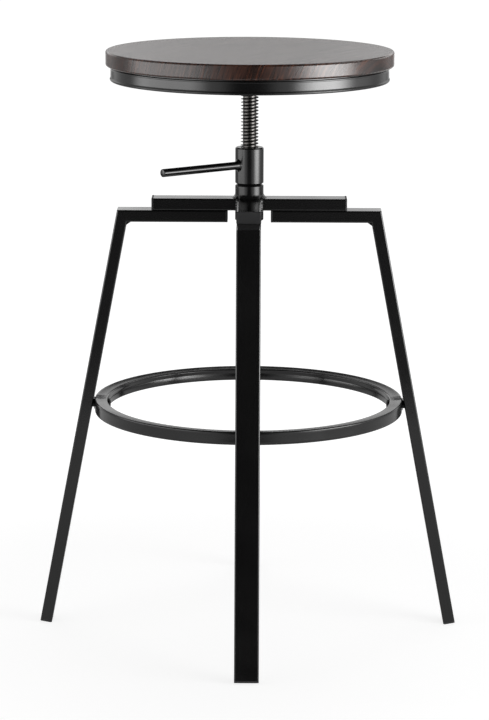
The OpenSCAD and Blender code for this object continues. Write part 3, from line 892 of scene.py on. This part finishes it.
def seat_pan():
    low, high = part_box("seat_pan")
    edge, top, bottom = high[0], high[2], low[2]
    corners = [
        (PAN_MIDDLE_R, top - CLEAR, 0), (edge - 3.4 * MM, top - CLEAR, 0),
        (edge - 3.4 * MM, top - 2.3 * MM, 0.3 * MM), (edge - 1.6 * MM, top - 1.75 * MM, 0.2 * MM),
        (edge - 0.75 * MM, top - 1.75 * MM, 0.45 * MM), (edge - 0.75 * MM, top - 2.9 * MM, 0.45 * MM),
        (edge - 0.85 * MM, top - 3.3 * MM, 0.4 * MM), (edge - 0.6 * MM, bottom + 3.6 * MM, 3 * MM),
        (edge, bottom + 2.0 * MM, 0.8 * MM),
        (edge - 0.1 * MM, bottom, 1.1 * MM), (edge - 3.2 * MM, bottom, 0.7 * MM),
        (edge - 3.2 * MM, bottom + 1.8 * MM, 0.7 * MM), (edge - 2.6 * MM, bottom + 3.2 * MM, 1 * MM),
        (edge - 2.6 * MM, top - SHEET, 0.9 * MM), (PAN_MIDDLE_R, top - SHEET, 0),
    ]
    return turned(rounded(corners))


add_piece("seat_pan_pressing", *seat_pan(), graphite_coat, "seat", "graphite_paint", "seat_pan", crease=30)

# %% [markdown]
# Each arm ends in a moulded cap a hair larger than the tube, so that it hides the sawn edge. The mould
# rounds its front edges, and it can't be made quite flat: the face sinks by a tenth of a millimetre or two
# in the middle as the plastic cools. It is a stack of rounded rectangles, each a little smaller and
# further out than the last, drawn for one arm and turned for the others.

# %% Arm caps
CAP_OVER = 0.25 * MM
CAP_EDGE = 0.8 * MM
CAP_SUNK = 0.15 * MM
PLUG_DEPTH, PLUG_INSET = 6 * MM, 2.2 * MM
QUARTERS = ((1, 1), (-1, 1), (-1, -1), (1, -1))


def rounded_rectangle(half_width, half_height, radius, steps=6):
    path = []
    for quarter, (side, up) in enumerate(QUARTERS):
        for step in range(steps + 1):
            spin = math.radians(90 * quarter + 90 * step / steps)
            across = side * (half_width - radius) + radius * math.cos(spin)
            path.append((across, up * (half_height - radius) + radius * math.sin(spin)))
    return path


def cap_layers(mouth, face):
    """Pairs of (distance from the axis, inset): plug, flange, rounded edge and sunken face."""
    layers = [(mouth - PLUG_DEPTH, PLUG_INSET), (mouth + CLEAR, PLUG_INSET)]
    layers += [(mouth + CLEAR, 0.15 * MM), (mouth + 0.2 * MM, 0)]
    for step in range(7):
        bend = math.radians(15 * step)
        layers.append((face - CAP_EDGE * (1 - math.sin(bend)), CAP_EDGE * (1 - math.cos(bend))))
    for inset in (1.6, 2.6, 4.2, 5.6, 6.2):
        layers.append((face - CAP_SUNK * min(1, (inset - 0.8) / 4), inset * MM))
    return layers


def arm_cap(side):
    low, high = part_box("arm_cap_right")
    middle = (low[2] + high[2]) / 2
    half_width, half_height = (high[1] - low[1]) / 2 + CAP_OVER, (high[2] - low[2]) / 2 + CAP_OVER
    layers = cap_layers(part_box("arm_right")[1][0], high[0])
    points = []
    for out, inset in layers:
        radius = max(0.05 * MM, CORNER_R - inset * 0.6)
        for across, up in rounded_rectangle(half_width - inset, half_height - inset, radius):
            points.append(set_out(math.radians(SIDES[side]), out, across, middle + up))
    columns = len(points) // len(layers)
    return points, grid_faces(len(layers), columns) + end_faces(len(layers), columns)


for side in SIDES:
    add_piece(
        f"arm_cap_{side}_moulded", *arm_cap(side), charcoal_plastic,
        "base", "black_plastic", f"arm_cap_{side}", crease=30,
    )

# %% [markdown]
# The footrest ring is square tube rolled to a circle. Rolling sags the walls a little, most of all the
# bottom one. The section is drawn once, as four rounded corners with a wall after each, and the inner wall
# gets more points than the others because the groove below has to bend it smoothly.

# %% Ring section
RING_HALF = 7 * MM
RING_SAGS = (0.18 * MM, 0, 0.3 * MM, 0.05 * MM)
RING_CUTS = (6, 16, 6, 6)


def ring_section():
    """Corners and walls in turn, starting at the top outside: top, inner, bottom and outer wall."""
    flat, path = RING_HALF - CORNER_R, []
    for quarter, (side, up) in enumerate(QUARTERS):
        for step in range(6):
            spin = math.radians(90 * quarter + 18 * step)
            path.append((side * flat + CORNER_R * math.cos(spin), up * flat + CORNER_R * math.sin(spin)))
        wall = math.radians(90 * quarter + 90)
        for step in range(1, RING_CUTS[quarter]):
            along = flat * (1 - 2 * step / RING_CUTS[quarter])
            out = RING_HALF - RING_SAGS[quarter] * (1 - (along / flat) ** 2)
            across = out * math.cos(wall) + along * math.sin(wall)
            path.append((across, out * math.sin(wall) - along * math.cos(wall)))
    return path


print("ring section:", len(ring_section()), "points")

# %% [markdown]
# Rolling also draws a groove into the inner wall and tips the top inwards. Where a bolt clamps the ring,
# the tube is pinched and its top shows a few short creases. All of that is a section that changes on its
# way round, so each point of it is moved by its distance from the nearest bolt before it is set out.

# %% Footrest ring
GROOVE_DEPTH = 0.85 * MM
GROOVE_HEIGHT = 2.3 * MM
GROOVE_WIDTH = 2.6 * MM
RING_TIP = 1.3 * MM
PINCH_DEPTH = 0.25 * MM
PINCH_WIDTH = 7
TOP_ABOVE, SIDE_BEYOND = 4 * MM, 5 * MM
CREASES = ((-6.5, 1.0, 0.55), (-2.2, 0.9, 0.5), (1.8, 0.8, 0.65), (6.5, 1.1, 0.5))


def hump(distance, width):
    """A smooth hump, 1 high, that is gone at about twice its width."""
    return math.exp(-(distance / width) ** 2)


def rolled(out, up, from_bolt):
    """A point of the section after rolling and clamping; from_bolt is its distance from a bolt, in mm."""
    outwards = (RING_HALF + out) / (2 * RING_HALF)
    height = up - (RING_TIP * (1 - outwards) if up > 0 else 0)
    if up > TOP_ABOVE:
        height -= sum(depth * MM * hump(from_bolt - at, wide) for at, wide, depth in CREASES) * outwards
    if abs(out) > SIDE_BEYOND:
        out -= math.copysign(PINCH_DEPTH * hump(from_bolt, PINCH_WIDTH) * (1 - (up / RING_HALF) ** 2), out)
    if out < -SIDE_BEYOND:
        out += GROOVE_DEPTH * hump(up - GROOVE_HEIGHT, GROOVE_WIDTH)
    return out, height


def ring():
    low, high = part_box("footrest_ring")
    middle_r, middle_z = high[0] - RING_HALF, (low[2] + high[2]) / 2
    steps, section, points = 1080, ring_section(), []
    for turn in around(steps):
        from_bolt = ((turn + math.pi / 4) % (math.pi / 2) - math.pi / 4) * middle_r / MM
        for corner in section:
            out, height = rolled(*corner, from_bolt)
            points.append(set_out(turn, middle_r + out, 0, middle_z + height))
    return points, grid_faces(steps, len(section), joined=True)


add_piece(
    "footrest_ring_rolled", *ring(), graphite_coat, "base", "graphite_paint", "footrest_ring", crease=60
)
